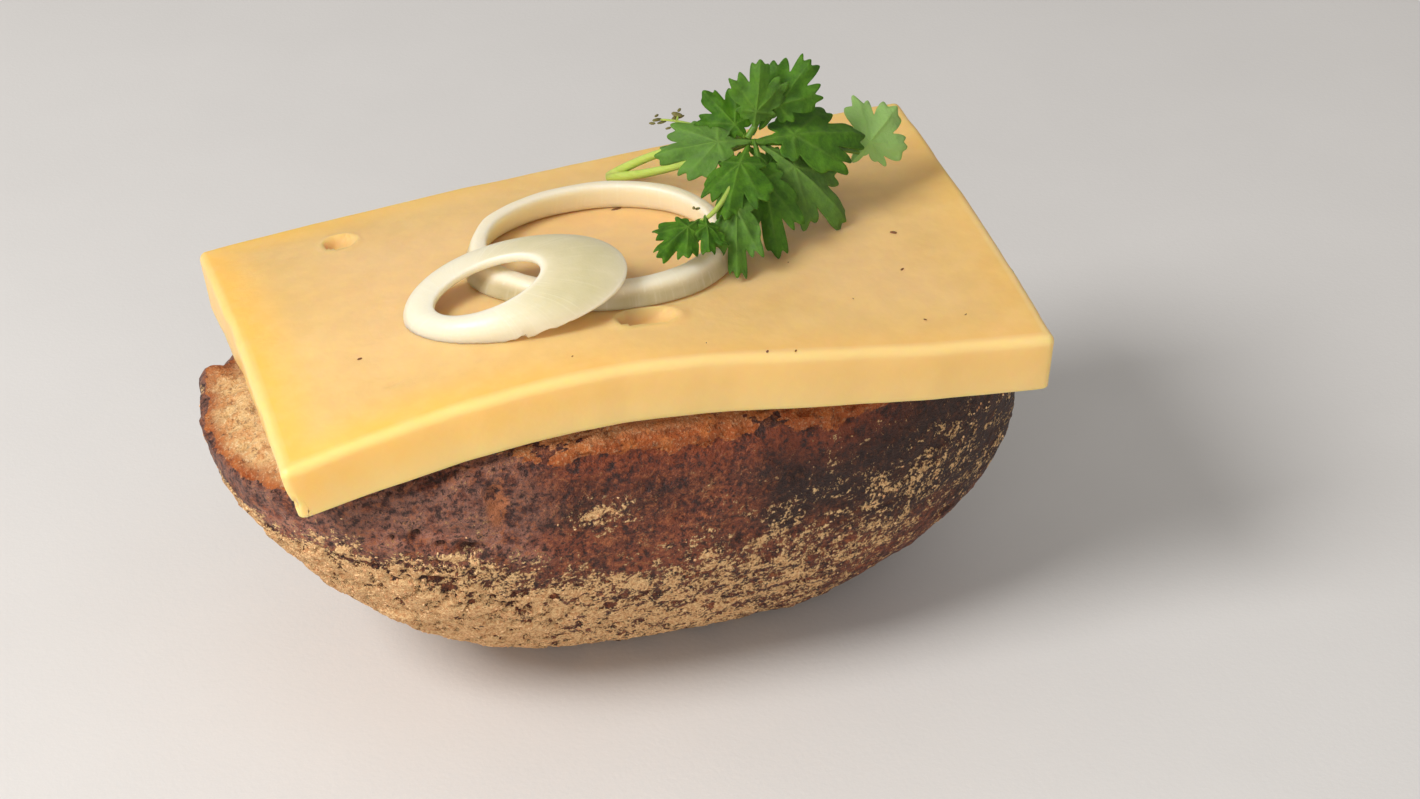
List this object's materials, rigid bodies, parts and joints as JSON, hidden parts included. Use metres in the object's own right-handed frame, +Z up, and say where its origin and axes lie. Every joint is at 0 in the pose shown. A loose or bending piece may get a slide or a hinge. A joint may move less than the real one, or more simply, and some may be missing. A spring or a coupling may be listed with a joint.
{
  "type": "open sandwich",
  "caption": "Open sandwich: half a flour-dusted rye roll under a thick slab of yellow cheese, with onion rings and a sprig of parsley.",
  "frame": {"origin": "centre of the small flat spot on which the domed crust rests", "axes": "+Z up, +X along the cheese towards its right end, -Y the front of the sandwich"},
  "size_m": [0.1089, 0.065, 0.0748],
  "materials": {
    "crust": "rough",
    "cheese": "satin",
    "onion": "satin",
    "parsley": "matte"
  },
  "bodies": {
    "root": {"bread_roll": "crust", "cheese_slice": "cheese", "onion_ring_large": "onion", "onion_ring_small": "onion", "parsley_sprig": "parsley"}
  },
  "joints": []
}
